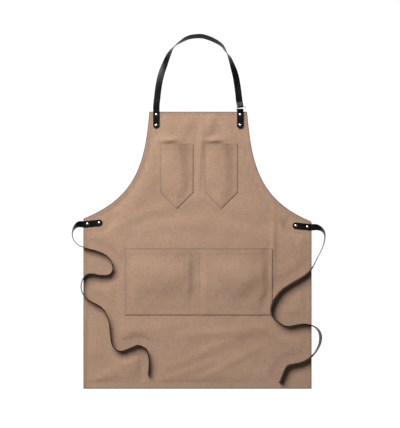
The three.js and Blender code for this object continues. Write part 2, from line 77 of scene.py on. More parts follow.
BODY_LOW, BODY_HIGH = box_mm("body_panel")
SKIRT_LEFT, HEM_Y = BODY_LOW[:2]
SKIRT_RIGHT, TOP_Y = BODY_HIGH[:2]
CANVAS_TOP = BODY_HIGH[2]
body_points = cad_points("body_panel")
top_edge = body_points[body_points[:, 1] > TOP_Y - 0.5]
BIB_LEFT, BIB_RIGHT = top_edge[:, 0].min(), top_edge[:, 0].max()
CORNER_LEFT = body_points[body_points[:, 0] < SKIRT_LEFT + 0.5][:, 1].max()
CORNER_RIGHT = body_points[body_points[:, 0] > SKIRT_RIGHT - 0.5][:, 1].max()
PLACES = ["neck_left_upper", "neck_left_lower", "neck_right_upper", "neck_right_lower",
          "waist_left_outer", "waist_left_inner", "waist_right_outer", "waist_right_inner"]
RIVETS = {name: middle_mm(f"rivet_cap_{name}") for name in PLACES}
fold_axis = np.array(frame["joints"][0]["pos_m"]) / MM
FOLD_Y, BAR_Z = fold_axis[1], fold_axis[2]
BIB_MIDDLE = (BIB_LEFT + BIB_RIGHT) / 2

# the design's own sizes
GAP = 0.3
CLOTH = 0.8  # one layer of canvas
HEM_FOLD = 1.6  # two more layers turned under
BOTTOM_HEM, SIDE_HEM, TOP_HEM = 24, 10, 10
ARMHOLE_TOP_PULL = (13.5, 161)
ARMHOLE_SIDE_PULL = (161, 65)
STRAP_HALF = 10
LEATHER = 2.2
NECK_RISE = 231.3
TIP_MARGIN = 10.4
SEAM_INSET = 8.6  # side and armhole seams, from the edge
BOTTOM_SEAM, TOP_SEAM = 22, 7.6
PAINTED_SEAM_SHADE = 0.42  # how dark the painted shade in a seam's groove is, as a share of the painted shade at a cut edge
POCKET_POINT = 51
POCKET_SEAM = 4.2  # from a pocket's sewn edge
MOUTH_HEM, MOUTH_SEAM = 17, 16.4
FRONT_SEAM, FRONT_SEAM_HALF = -1, 5.8  # the front pocket's double middle seam
ALLOWANCE, MOUTH_TURN = 8, 20  # cloth turned under at a sewn edge, and at a mouth
ROW_END = 1.5  # from the last stitch of a row to the edge
POCKET_BULGE = 13
FRONT_BULGE = 17
FOLD_HEIGHT = 1.3
INNER_LEVEL = 1.5  # top of the cloth where it lies on the surface
LOWEST = 0.05  # least height of the cloth over the surface
WAVE_HEIGHT = 2.4  # of the highest twentieth of the settled waves
SETTLE_FRAMES = 36
TIE_DIP, TIE_HOLD = 36, 44  # how far from a tie the cloth lies lower, and lies still
DOUBLED_END = 31
LOOP_SPACING = 10.2
WIRE_RADIUS = 1.2
LOOP_PLAY = 0.45
LOOP_SHIFT = 1.5
STRAP_LEAN = 0.14  # sideways for each length, where the strap leaves the metal loop
UNDER_LEAN = 0.03  # the turned-back layer leans this much more
LEATHER_REST = 0.2  # lower side of leather that lies on the surface
LEATHER_BASE = CANVAS_TOP + GAP
DOUBLED_BASE = LEATHER_REST + LEATHER + GAP
UPPER_BAR_Y = FOLD_Y + LOOP_SPACING
LEFT_NECK_X = RIVETS["neck_left_upper"][0]
RIGHT_NECK_X = RIVETS["neck_right_upper"][0]
NECK_HALF_SPAN = (RIGHT_NECK_X - LEFT_NECK_X) / 2

# neck loop: place across in half spans, place up in neck rises, height of the lower side, roll in degrees
NECK_ROUTE = [
    (-0.975, 0.203, 0.8, 0), (-0.940, 0.354, 0.2, 4), (-0.876, 0.507, 0.2, 12), (-0.795, 0.629, 0.2, 28),
    (-0.694, 0.762, 0.2, 53), (-0.587, 0.853, 0.2, 84), (-0.421, 0.924, 0.2, 108),
    (-0.237, 0.980, 0.2, 122), (0.018, 1.000, 0.2, 127), (0.128, 0.994, 0.2, 127),
    (0.356, 0.949, 0.2, 124), (0.567, 0.874, 0.2, 112), (0.652, 0.802, 0.2, 100), (0.740, 0.721, 0.2, 68),
    (0.816, 0.610, 0.2, 42), (0.890, 0.477, 0.2, 18), (0.936, 0.335, 0.6, 6), (0.959, 0.235, 2.4, 1),
]
# waist ties from the outer rivet: across, along, height of the lower side, roll in degrees
LEFT_TIE_ROUTE = [
    (-14, -1, 2.9, 1), (-27, -1, 3.4, 24), (-37, -8, 2.4, 50), (-44.5, -21, 0.8, 72),
    (-46.5, -34, 0.2, 80), (-42, -49, 1.2, 80), (-31, -62, 2.8, 79), (-16.5, -69.5, 3.2, 78),
    (2, -76, 2.9, 78), (24.5, -81.5, 2.9, 78), (43, -88.5, 2.9, 78), (61.5, -99.5, 2.9, 78),
    (72.5, -114.5, 2.9, 77), (77.5, -129, 2.9, 76), (76, -144, 2.9, 76), (67, -154.5, 2.9, 77),
    (54, -157, 2.9, 78), (35.5, -156.5, 2.9, 78), (15, -153, 2.9, 78), (-3.5, -155.5, 2.9, 79),
    (-13, -166.5, 2.9, 80), (-18.5, -181.5, 2.9, 80), (-19.5, -196, 2.9, 80), (-15, -213, 2.9, 80),
    (-3.5, -228, 2.9, 78), (11, -238, 2.9, 78), (28, -246.5, 2.9, 78), (43, -256, 2.9, 77),
    (54, -271, 2.9, 76), (61.5, -287.5, 2.9, 76), (67, -308, 2.9, 76), (69, -330.5, 2.9, 76),
    (76, -371, 2.9, 76), (87, -384.5, 2.9, 77), (102, -390, 2.9, 78), (135.5, -379, 2.9, 78),
    (154, -372, 2.9, 77), (180, -384, 2.9, 76), (188.5, -419.5, 2.9, 75), (186.5, -464.5, 2.9, 75),
]
RIGHT_TIE_ROUTE = [
    (14, -1, 2.9, 1), (28.5, -1, 3.4, 24), (42, -7, 2.4, 50), (51, -18, 0.8, 70),
    (53, -32, 0.2, 80), (50, -51, 0.2, 84), (42.5, -71, 0.6, 86), (32.5, -90.5, 1.6, 86),
    (22.5, -110, 2.9, 84), (13, -127.5, 3.0, 80), (3, -139.5, 2.9, 78), (-14.5, -153, 2.9, 77),
    (-38, -167, 2.9, 76), (-59.5, -180, 2.9, 76), (-81, -196, 3.2, 75), (-98, -218, 4.2, 74),
    (-108, -237, 4.6, 74), (-111.5, -255, 4.6, 74), (-106.5, -274.5, 4.2, 75), (-92.5, -290, 3.2, 76),
    (-75, -302, 2.9, 77), (-57.5, -305, 2.9, 77), (-38, -301.5, 2.9, 77), (-14.5, -298, 2.9, 76),
    (5, -300, 3.1, 75), (24.5, -308, 3.0, 72), (36.5, -322, 1.4, 68), (40, -337.5, 1.0, 66),
    (37.5, -357, 1.2, 70), (28.5, -376.5, 3.0, 74), (17, -392, 3.1, 77), (1, -406, 2.9, 77),
    (-18.5, -415.5, 2.9, 77), (-40, -420.5, 2.9, 76), (-59.5, -425.5, 2.9, 75),
    (-69, -439, 2.9, 74), (-77, -459, 2.9, 74), (-85, -478.5, 2.9, 74),
]


# ---- camera
VIEW_WIDTH = 1.313  # seen across at the apron, in metres
CAMERA_PLACE = (0.0077, -0.0074, 8.0)


def make_camera():
    data = bpy.data.cameras.new("camera")
    data.sensor_width = 36
    data.lens = data.sensor_width * CAMERA_PLACE[2] / VIEW_WIDTH
    data.clip_end = 50
    camera = bpy.data.objects.new("camera", data)
    camera.location = CAMERA_PLACE
    scene.collection.objects.link(camera)
    scene.camera = camera


make_camera()


# ---- small helpers
def smooth(x):
    """0 at 0, 1 at 1, level at both ends."""
    t = np.clip(x, 0, 1)
    return t * t * (3 - 2 * t)


def new_object(name, points_mm, faces, edge=None):
    mesh = bpy.data.meshes.new(name)
    mesh.from_pydata((np.asarray(points_mm) * MM).tolist(), [], faces)
    mesh.validate()
    mesh.shade_smooth()
    # the edge attribute: rubbed wear on the leather, painted shade along canvas rims and in seam grooves
    if edge is not None:
        layer = mesh.attributes.new("edge", "FLOAT", "POINT")
        layer.data.foreach_set("value", np.asarray(edge, np.float32))
    obj = bpy.data.objects.new(name, mesh)
    scene.collection.objects.link(obj)
    return obj


def finish_piece(obj, material, body="apron", replaces=()):
    obj.data.materials.clear()
    obj.data.materials.append(material)
    if replaces:
        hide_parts(*replaces)
    if body:
        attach(obj, body)


# ---- materials
class Nodes:
    """The surface of one material."""

    def __init__(self, name):
        self.material = bpy.data.materials.new(name)
        self.material.use_nodes = True
        self.tree = self.material.node_tree
        self.shader = self.tree.nodes["Principled BSDF"]

    def node(self, kind, **settings):
        made = self.tree.nodes.new(kind)
        for key, value in settings.items():
            setattr(made, key, value)
        return made

    def link(self, source, target):
        self.tree.links.new(source, target)

    def put(self, socket, value):
        if isinstance(value, (int, float, tuple)):
            socket.default_value = value
        else:
            self.link(value, socket)

    def shade(self, name, value):
        self.put(self.shader.inputs[name], value)

    def place(self, stretch=(1, 1, 1), turn=0):
        """Position on the object, in metres, stretched along each axis and turned about Z in degrees."""
        where = self.node("ShaderNodeTexCoord").outputs["Object"]
        mapping = self.node("ShaderNodeMapping")
        self.link(where, mapping.inputs["Vector"])
        mapping.inputs["Scale"].default_value = stretch
        mapping.inputs["Rotation"].default_value = (0, 0, math.radians(turn))
        return mapping.outputs["Vector"]

    def noise(self, where, scale, detail=3, roughness=0.5):
        made = self.node("ShaderNodeTexNoise")
        self.link(where, made.inputs["Vector"])
        for key, value in (("Scale", scale), ("Detail", detail), ("Roughness", roughness)):
            made.inputs[key].default_value = value
        return made.outputs["Fac"]

    def math(self, operation, a, b=0.0):
        made = self.node("ShaderNodeMath", operation=operation)
        self.put(made.inputs[0], a)
        self.put(made.inputs[1], b)
        return made.outputs[0]

    def ramp(self, value, low, high, to_low=0.0, to_high=1.0):
        made = self.node("ShaderNodeMapRange")
        self.put(made.inputs["Value"], value)
        for key, limit in (("From Min", low), ("From Max", high), ("To Min", to_low), ("To Max", to_high)):
            made.inputs[key].default_value = limit
        return made.outputs["Result"]

    def mix(self, share, a, b):
        made = self.node("ShaderNodeMix", data_type="RGBA")
        self.put(made.inputs["Factor"], share)
        self.put(made.inputs["A"], a)
        self.put(made.inputs["B"], b)
        return made.outputs["Result"]

    def attribute(self, name):
        return self.node("ShaderNodeAttribute", attribute_name=name).outputs["Fac"]

    def bump(self, height, distance, strength=1.0):
        made = self.node("ShaderNodeBump")
        made.inputs["Strength"].default_value = strength
        made.inputs["Distance"].default_value = distance
        self.link(height, made.inputs["Height"])
        self.link(made.outputs["Normal"], self.shader.inputs["Normal"])


def woven_height(m, where, pitch):
    """Plain weave: yarns of two directions that pass over each other in turn."""
    axes = m.node("ShaderNodeSeparateXYZ")
    m.link(where, axes.inputs[0])
    across = m.math("SINE", m.math("MULTIPLY", axes.outputs["X"], math.pi / pitch))
    along = m.math("SINE", m.math("MULTIPLY", axes.outputs["Y"], math.pi / pitch))
    return m.math("MULTIPLY", across, along)


YARN_PITCH = 0.0009  # in metres


def canvas_material(name, turn=0):
    m = Nodes(name)
    where = m.place(turn=turn)
    dark_yarn, light_yarn = (0.290, 0.184, 0.126, 1), (0.408, 0.264, 0.184, 1)
    light_slub, dark_slub = (0.420, 0.274, 0.192, 1), (0.272, 0.170, 0.114, 1)
    shade, fleck = (0.280, 0.172, 0.112, 1), (0.50, 0.34, 0.24, 1)
    # painted shade colours: one for the weave's hollows, one for rolled cut edges and seam grooves
    painted_hollow_shade, painted_edge_and_seam_shade = (0.20, 0.12, 0.078, 1), (0.085, 0.068, 0.058, 1)
    weave = woven_height(m, where, YARN_PITCH)
    weft = m.noise(m.place((70, 900, 1), turn), 1.0, 2)
    warp = m.noise(m.place((900, 70, 1), turn), 1.0, 2)
    slub = m.noise(m.place((42, 300, 1), turn), 1.0, 3, 0.6)
    warp_slub = m.noise(m.place((300, 34, 1), turn), 1.0, 3, 0.6)
    cloudy = m.noise(where, 7, 4)
    speck = m.noise(where, 420, 2)
    yarn = m.math("ADD", m.math("MULTIPLY", weft, 0.6), m.math("MULTIPLY", warp, 0.4))
    tone = m.ramp(yarn, 0.34, 0.66)
    colour = m.mix(tone, dark_yarn, light_yarn)
    colour = m.mix(m.ramp(slub, 0.40, 0.62, 0, 0.60), colour, light_slub)
    colour = m.mix(m.ramp(warp_slub, 0.62, 0.38, 0, 0.36), colour, dark_slub)
    colour = m.mix(m.ramp(cloudy, 0.42, 0.68, 0, 0.30), colour, shade)
    colour = m.mix(m.ramp(speck, 0.66, 0.8, 0, 0.35), colour, fleck)
    # painted shade in the weave's hollows, darker where the yarns lie lowest
    between = m.ramp(weave, -1, 1, 0.2, 0)
    colour = m.mix(between, colour, painted_hollow_shade)
    # painted shade along the canvas's rolled cut edges and in its seam grooves, by the edge attribute
    colour = m.mix(m.ramp(m.attribute("edge"), 0, 1, 0, 0.85), colour, painted_edge_and_seam_shade)
    m.shade("Base Color", colour)
    m.shade("Roughness", m.ramp(tone, 0, 1, 0.96, 0.86))
    m.shade("Specular IOR Level", 0.15)
    m.shade("Sheen Weight", 0.08)
    m.shade("Sheen Roughness", 0.5)
    relief = m.math("ADD", m.math("MULTIPLY", weave, 0.5), yarn)
    relief = m.math("ADD", relief, m.math("MULTIPLY", slub, 1.2))
    m.bump(relief, 0.0003, 0.9)
    return m.material


def leather_material():
    m = Nodes("black_leather")
    where = m.place()
    cells = m.node("ShaderNodeTexVoronoi", feature="DISTANCE_TO_EDGE")
    m.link(where, cells.inputs["Vector"])
    cells.inputs["Scale"].default_value = 900
    grain = m.ramp(cells.outputs["Distance"], 0, 0.25)
    crease = m.noise(m.place((60, 60, 60)), 1.0, 4, 0.6)
    cloud = m.noise(where, 28, 3)
    colour = m.mix(m.ramp(cloud, 0.35, 0.7), (0.0022, 0.0022, 0.0025, 1), (0.0048, 0.0046, 0.0048, 1))
    edge = m.attribute("edge")
    rubbed = m.math("MULTIPLY", edge, m.ramp(m.noise(where, 180, 3), 0.42, 0.66))
    colour = m.mix(m.ramp(rubbed, 0, 1, 0, 0.5), colour, (0.022, 0.019, 0.017, 1))
    m.shade("Base Color", colour)
    wear = m.math("ADD", cloud, m.math("MULTIPLY", edge, 0.5))
    m.shade("Roughness", m.ramp(wear, 0.3, 1.2, 0.22, 0.40))
    m.shade("Specular IOR Level", 0.2)
    m.bump(m.math("ADD", m.math("MULTIPLY", grain, 0.35), crease), 0.00012, 0.4)
    return m.material


def nickel_material():
    m = Nodes("polished_nickel")
    where = m.place()
    rubbed = m.noise(m.place((300, 300, 300)), 1.0, 4, 0.6)
    colour = m.mix(m.ramp(rubbed, 0.4, 0.7), (0.80, 0.79, 0.77, 1), (0.68, 0.67, 0.65, 1))
    m.shade("Base Color", colour)
    m.shade("Roughness", m.ramp(rubbed, 0.3, 0.75, 0.14, 0.32))
    m.shade("Metallic", 1.0)
    m.bump(m.noise(where, 2500, 2), 0.00003, 0.4)
    return m.material


def thread_material():
    m = Nodes("sewing_thread")
    plies = m.noise(m.place((1400, 1400, 1400)), 1.0, 2)
    colour = m.mix(m.ramp(plies, 0.35, 0.65), (0.30, 0.195, 0.13, 1), (0.52, 0.36, 0.25, 1))
    m.shade("Base Color", colour)
    m.shade("Roughness", 0.7)
    m.shade("Sheen Weight", 0.2)
    m.bump(plies, 0.0001, 0.6)
    return m.material


CANVAS = canvas_material("canvas")
POCKET_CANVAS = canvas_material("pocket_canvas", turn=1.2)
BLACK_LEATHER = leather_material()
NICKEL = nickel_material()
THREAD = thread_material()


# ---- leather straps
def catmull_rom(points, t):
    """Centripetal Catmull-Rom curve through the points, at shares t of its stations."""
    p = np.asarray(points, float)
    p = np.vstack([2 * p[0] - p[1], p, 2 * p[-1] - p[-2]])
    spot = np.asarray(t) * (len(p) - 3)
    i = np.minimum(spot.astype(int), len(p) - 4)
    w = (spot - i)[:, None]
    p0, p1, p2, p3 = p[i], p[i + 1], p[i + 2], p[i + 3]
    d0, d1, d2 = (np.linalg.norm(b - a, axis=1)[:, None] ** 0.5 for a, b in ((p0, p1), (p1, p2), (p2, p3)))
    m1 = ((p1 - p0) / d0 - (p2 - p0) / (d0 + d1) + (p2 - p1) / d1) * d1
    m2 = ((p2 - p1) / d1 - (p3 - p1) / (d1 + d2) + (p3 - p2) / d2) * d1
    return p1 + m1 * w + (3 * (p2 - p1) - 2 * m1 - m2) * w**2 + (2 * (p1 - p2) + m1 + m2) * w**3


def run_through(stations):
    """Dense middle line and roll of a strap through stations (x, y, base, roll in degrees)."""
    rolls = np.radians([s[3] for s in stations])
    base = np.array([s[2] for s in stations])
    height = base + STRAP_HALF * np.abs(np.sin(rolls)) + LEATHER / 2 * np.abs(np.cos(rolls))
    points = np.array([(s[0], s[1], z) for s, z in zip(stations, height)])
    t = np.linspace(0, 1, 60 * (len(stations) - 1) + 1)
    turning = catmull_rom([(i, r, 0) for i, r in enumerate(rolls)], t)[:, 1]
    return catmull_rom(points, t), turning


def lengths_along(line):
    return np.concatenate([[0], np.cumsum(np.linalg.norm(np.diff(line, axis=0), axis=1))])


def at_spots(line, along, spots):
    """Points of a line at the given distances along it."""
    return np.column_stack([np.interp(spots, along, column) for column in line.T])


def tube_faces(rings, sides):
    """Faces between rings of points, with both ends closed."""
    faces = [
        (i * sides + j, i * sides + (j + 1) % sides, (i + 1) * sides + (j + 1) % sides, (i + 1) * sides + j)
        for i in range(rings - 1) for j in range(sides)
    ]
    faces.append(tuple(range(sides))[::-1])
    faces.append(tuple((rings - 1) * sides + j for j in range(sides)))
    return faces


CUT_ROUNDING = 0.9  # length over which a cut end rounds off
# half a section: distance in from the edge, height as a share of half the thickness, and edge mark
EDGE_PROFILE = [
    (0, 0, 1.0), (0.12, 0.5, 0.9), (0.45, 0.84, 0.5), (1.0, 0.97, 0.15), (2.4, 1.0, 0), (6, 1.0, 0),
]


def strap_section():
    """Points round a strap of half width 1 and half thickness 1: across, up, edge mark."""
    top = [(1 - inset / STRAP_HALF, share, mark) for inset, share, mark in EDGE_PROFILE]
    top += [(-across, share, mark) for across, share, mark in reversed(top)]
    under = [(across, -share, mark) for across, share, mark in reversed(top[1:-1])]
    return np.array(top + under)


def strap_mesh(name, line, rolls, first_right, round_start=False, round_end=False, step=2.5):
    """A closed leather strap swept along a line, with its cut edges rounded."""
    along = lengths_along(line)
    total = along[-1]
    tip = STRAP_HALF * (1 - np.cos(np.linspace(0, np.pi / 2, 9)))
    rounding = np.array([0, 0.12, 0.4, CUT_ROUNDING])
    head = tip if round_start else rounding
    tail = tip if round_end else rounding
    count = max(8, int((total - head[-1] - tail[-1]) / step))
    spots = np.concatenate([head, np.linspace(head[-1], total - tail[-1], count)[1:-1], total - tail[::-1]])
    middle = at_spots(line, along, spots)
    roll = np.interp(spots, along, rolls)
    fine = np.gradient(middle, spots, axis=0)
    section = strap_section()
    right = np.array(first_right, float)
    points, marks = [], []
    for i, spot in enumerate(spots):
        forward = fine[i] / np.linalg.norm(fine[i])
        right = right - right.dot(forward) * forward
        right /= np.linalg.norm(right)
        up = np.cross(right, forward)
        across = right * math.cos(roll[i]) + up * math.sin(roll[i])
        face = up * math.cos(roll[i]) - right * math.sin(roll[i])
        half = STRAP_HALF
        for is_round, reach in ((round_start, spot), (round_end, total - spot)):
            if is_round and reach < STRAP_HALF:
                half = math.sqrt(max(STRAP_HALF**2 - (STRAP_HALF - reach) ** 2, 0.04))
        full = float(smooth(min(spot, total - spot) / CUT_ROUNDING))
        thick = LEATHER / 2 * (0.35 + 0.65 * full)
        points.append(middle[i] + section[:, :1] * half * across + section[:, 1:2] * thick * face)
        marks.append(np.maximum(section[:, 2], 1 - full))
    faces = tube_faces(len(spots), len(section))
    return new_object(name, np.concatenate(points), faces, np.concatenate(marks))


def waist_tie(side, sign, route):
    """One long flat tie, from its rounded riveted end to its bare cut end."""
    outer = RIVETS[f"waist_{side}_outer"][:2]
    inner = RIVETS[f"waist_{side}_inner"][:2]
    back = (inner - outer) / np.linalg.norm(inner - outer)
    start = inner + back * TIP_MARGIN
    stations = [(*start, LEATHER_BASE, 0), (*inner, LEATHER_BASE, 0), (*outer, LEATHER_BASE, 0)]
    stations += [(outer[0] + x, outer[1] + y, base, -sign * roll) for x, y, base, roll in route]
    line, rolls = run_through(stations)
    tie = strap_mesh(f"tie_{side}", line, rolls, (0, -sign, 0), round_start=True)
    finish_piece(tie, BLACK_LEATHER, replaces=[f"waist_tie_{side}"])
    return line


left_tie_line = waist_tie("left", -1, LEFT_TIE_ROUTE)
right_tie_line = waist_tie("right", 1, RIGHT_TIE_ROUTE)


def fold_round_bar(bar_y, direction, top_middle, under_middle, ease, top_length, under_length):
    """Middle line of a strap that comes to a bar, turns round it and goes back beneath itself.

    direction is where the strap lies from the bar: 1 towards the neck, -1 towards the hem."""
    radius = WIRE_RADIUS + LOOP_PLAY + LEATHER / 2
    turn = np.linspace(0, np.pi, 15)
    arc = np.column_stack([-np.sin(turn) * radius, BAR_Z + np.cos(turn) * radius])
    share = np.linspace(0, 1, 9)
    drop_in = np.column_stack([ease * (1 - share), top_middle + (arc[0, 1] - top_middle) * smooth(share)])
    drop_out = np.column_stack([ease * share, arc[-1, 1] + (under_middle - arc[-1, 1]) * smooth(share)])
    profile = np.vstack([[(top_length, top_middle)], drop_in[:-1], arc, drop_out[1:],
                         [(under_length, under_middle)]])
    across = np.full(len(profile), RIGHT_NECK_X)
    return np.column_stack([across, bar_y + direction * profile[:, 0], profile[:, 1]])


def even_line(points, step=0.5):
    along = lengths_along(points)
    return at_spots(points, along, np.arange(0, along[-1], step))


def neck_strap():
    """The whole neck strap: riveted on the left, turned back round the metal loop on the right."""
    tip_y = RIVETS["neck_left_lower"][1] - TIP_MARGIN
    flat_z = LEATHER_BASE + LEATHER / 2
    riveted = even_line(np.array([(LEFT_NECK_X, tip_y, flat_z), (LEFT_NECK_X, FOLD_Y, flat_z)]))
    stations = [(LEFT_NECK_X, FOLD_Y + up, LEATHER_BASE, 0) for up in (GAP / 2, STRAP_HALF)]
    for u, v, base, roll in NECK_ROUTE:
        stations.append((BIB_MIDDLE + u * NECK_HALF_SPAN, TOP_Y + v * NECK_RISE, base, roll))
    for up in (DOUBLED_END, DOUBLED_END - STRAP_HALF):
        stations.append((RIGHT_NECK_X - STRAP_LEAN * up, UPPER_BAR_Y + up, DOUBLED_BASE, 0))
    loop, rolls = run_through(stations)
    turned = fold_round_bar(UPPER_BAR_Y, 1, DOUBLED_BASE + LEATHER / 2, LEATHER_REST + LEATHER / 2, 14,
                            DOUBLED_END - STRAP_HALF - 0.5, DOUBLED_END - 2)
    turned = even_line(turned)
    beneath = smooth((BAR_Z - turned[:, 2]) / 2)
    turned[:, 0] -= (turned[:, 1] - UPPER_BAR_Y) * (STRAP_LEAN + UNDER_LEAN * beneath)
    line = np.vstack([riveted, loop, turned])
    roll = np.concatenate([np.zeros(len(riveted)), rolls, np.zeros(len(turned))])
    strap = strap_mesh("neck_strap_leather", line, roll, (1, 0, 0), round_start=True, step=2.0)
    stands_for = ["neck_strap", "neck_strap_riveted_end"]
    finish_piece(strap, BLACK_LEATHER, body=None, replaces=stands_for)
    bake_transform(strap)


def neck_tab():
    """The right tab: folded round the lower bar, both layers riveted."""
    reach = FOLD_Y - RIVETS["neck_right_lower"][1] + TIP_MARGIN
    top_middle, under_middle = LEATHER_BASE + LEATHER * 1.5 + GAP, LEATHER_BASE + LEATHER / 2
    line = even_line(fold_round_bar(FOLD_Y, -1, top_middle, under_middle, 4.8, reach, reach))
    tab = strap_mesh("neck_tab", line, np.zeros(len(line)), (1, 0, 0), True, True, step=1.0)
    finish_piece(tab, BLACK_LEATHER, replaces=["neck_tab_right"])


neck_strap()
neck_tab()


# ---- lie of the cloth
def armhole(side):
    """Armhole edge from the bib corner to the waist corner."""
    sign = -1 if side == "left" else 1
    top = np.array([BIB_LEFT if side == "left" else BIB_RIGHT, TOP_Y])
    corner = np.array([sign * SKIRT_RIGHT, CORNER_LEFT if side == "left" else CORNER_RIGHT])
    pull_top = top + (sign * ARMHOLE_TOP_PULL[0], -ARMHOLE_TOP_PULL[1])
    pull_side = corner + (-sign * ARMHOLE_SIDE_PULL[0], ARMHOLE_SIDE_PULL[1])
    t = np.linspace(0, 1, 161)[:, None]
    towards_top = (1 - t) ** 3 * top + 3 * (1 - t) ** 2 * t * pull_top
    return towards_top + 3 * (1 - t) * t**2 * pull_side + t**3 * corner


ARMHOLES = {side: armhole(side) for side in ("left", "right")}


def inward(curve, side):
    """Unit vectors across an armhole's curve, into the cloth."""
    ahead = np.gradient(curve, axis=0)
    ahead /= np.linalg.norm(ahead, axis=1)[:, None]
    return np.column_stack([-ahead[:, 1], ahead[:, 0]]) * (1 if side == "left" else -1)


def edge_x(side, y):
    """Where the body's edge is at a height up the apron."""
    curve = ARMHOLES[side][::-1]
    return np.interp(y, curve[:, 1], curve[:, 0])


def edge_lean(side, y):
    """Sideways distance for each millimetre measured square to the edge."""
    slope = (edge_x(side, y + 6) - edge_x(side, y - 6)) / 12
    return np.minimum(np.hypot(1, slope), 2.7)


def from_edges(x, y):
    """Distances to the bottom, top and nearer side edge of the body."""
    left = (x - edge_x("left", y)) / edge_lean("left", y)
    right = (edge_x("right", y) - x) / edge_lean("right", y)
    return y - HEM_Y, TOP_Y - y, np.minimum(left, right)


# soft folds in the cloth: middle x and y, direction in degrees, half length, half width, height
SOFT_FOLDS = [
    (35, 262, 68, 60, 17, 3.6), (-30, 278, 62, 48, 22, 2.2), (-96, 262, 82, 60, 20, 1.8),
    (104, 240, -70, 60, 16, 1.8), (10, 190, 87, 130, 9, 2.2), (-150, 90, 58, 110, 26, 2.6),
    (-118, 150, 60, 70, 14, -1.2), (-70, -40, 6, 120, 20, 1.6), (110, -55, -8, 120, 22, 1.8),
    (-190, -20, 24, 90, 16, 1.6), (0, -108, 0, 260, 56, 4.6), (160, 60, -52, 110, 18, 2.0),
    (232, -110, 89, 130, 8, 2.2), (268, -60, -72, 110, 16, 1.6), (-268, -250, 82, 120, 16, 2.0),
    (-250, -150, 70, 70, 12, 1.6), (-150, -362, 8, 120, 20, 1.9), (60, -372, 4, 170, 18, 2.2),
    (-148, -500, 86, 60, 9, 2.4), (-172, -500, 84, 60, 8, -1.4), (20, -430, 24, 150, 14, 1.4),
    (90, -470, 28, 150, 12, 1.3), (-86, 219, 2, 28, 9, 5.2), (52, 219, 2, 27, 9, 6.0),
    (-30, -490, 20, 120, 12, 1.2), (-240, -440, -12, 80, 22, 1.8), (-275, -500, 30, 60, 16, 1.5),
    (200, -360, -30, 80, 14, 1.6), (-60, 20, 14, 130, 18, 1.4), (90, 15, -18, 120, 20, 1.4),
]


def wave_noise(x, y, count, shortest, longest, seed):
    """Low waves in several directions, of lengths between shortest and longest."""
    draw = np.random.default_rng(seed)
    total = np.zeros_like(x, dtype=float)
    for _ in range(count):
        length = draw.uniform(shortest, longest)
        angle = draw.uniform(0, math.pi)
        phase = draw.uniform(0, 2 * math.pi)
        total += np.sin((x * math.cos(angle) + y * math.sin(angle)) * 2 * math.pi / length + phase)
    return total / math.sqrt(count)


def near_line(x, y, line, reach):
    """1 on a strap's middle line, 0 beyond reach from it."""
    x, y = np.asarray(x, float), np.asarray(y, float)
    flat = np.column_stack([x.ravel(), y.ravel()])
    spots = line[::20, :2]
    best = np.full(len(flat), 1e9)
    for low in range(0, len(flat), 8192):
        block = flat[low:low + 8192]
        apart = block[:, None, :] - spots[None, :, :]
        best[low:low + 8192] = np.sqrt((apart**2).sum(2).min(1))
    return smooth(1 - (best.reshape(x.shape) - reach / 2) / (reach / 2))


def held_flat(x, y):
    """1 where a hem, a rivet or a tie keeps the cloth down, 0 well away from them."""
    bottom, top, side = from_edges(x, y)
    held = smooth((30 - np.minimum.reduce([bottom, top, side])) / 14)
    for place in RIVETS.values():
        held = np.maximum(held, smooth((40 - np.hypot(x - place[0], y - place[1])) / 14))
    for line in (left_tie_line, right_tie_line):
        held = np.maximum(held, near_line(x, y, line, TIE_HOLD))
    return held


def settle_sheet(x, y, inside, held):
    """Lets a coarse sheet that is slightly too large for its held places settle on the floor."""
    index = np.full(x.shape, -1)
    index[inside] = np.arange(inside.sum())
    bumps = 2 + 1.2 * wave_noise(x, y, 14, 60, 150, 31)
    start = (1.5 + np.abs(bumps) * (1 - held))[inside]
    points = np.column_stack([x[inside], y[inside], start])
    corners = np.stack([index[:-1, :-1], index[:-1, 1:], index[1:, 1:], index[1:, :-1]], -1).reshape(-1, 4)
    sheet = new_object("settling_sheet", points, corners[(corners >= 0).all(1)].tolist())
    pins = sheet.vertex_groups.new(name="held")
    for vertex, share in enumerate(held[inside]):
        if share > 0.5:
            pins.add([vertex], 1.0, "REPLACE")
    far = 0.8 / MM
    square = [(-far, -far, 0), (far, -far, 0), (far, far, 0), (-far, far, 0)]
    ground = new_object("settling_floor", square, [(0, 1, 2, 3)])
    ground.modifiers.new("collision", "COLLISION")
    ground.collision.thickness_outer = 0.001
    cloth = sheet.modifiers.new("cloth", "CLOTH")
    cloth.settings.quality = 6
    cloth.settings.mass = 0.05
    cloth.settings.tension_stiffness = cloth.settings.compression_stiffness = 40
    cloth.settings.shear_stiffness = 20
    cloth.settings.bending_stiffness = 0.6
    cloth.settings.air_damping = 2
    cloth.settings.vertex_group_mass = "held"
    cloth.settings.shrink_min = -0.006
    cloth.collision_settings.distance_min = 0.001
    cloth.collision_settings.use_self_collision = False
    cloth.point_cache.frame_end = SETTLE_FRAMES
    for number in range(1, SETTLE_FRAMES + 1):
        scene.frame_set(number)
    settled = sheet.evaluated_get(bpy.context.evaluated_depsgraph_get())
    heights = np.array([v.co.z for v in settled.data.vertices]) / MM
    scene.frame_set(1)
    for obj in (sheet, ground):
        bpy.data.objects.remove(obj)
    return heights


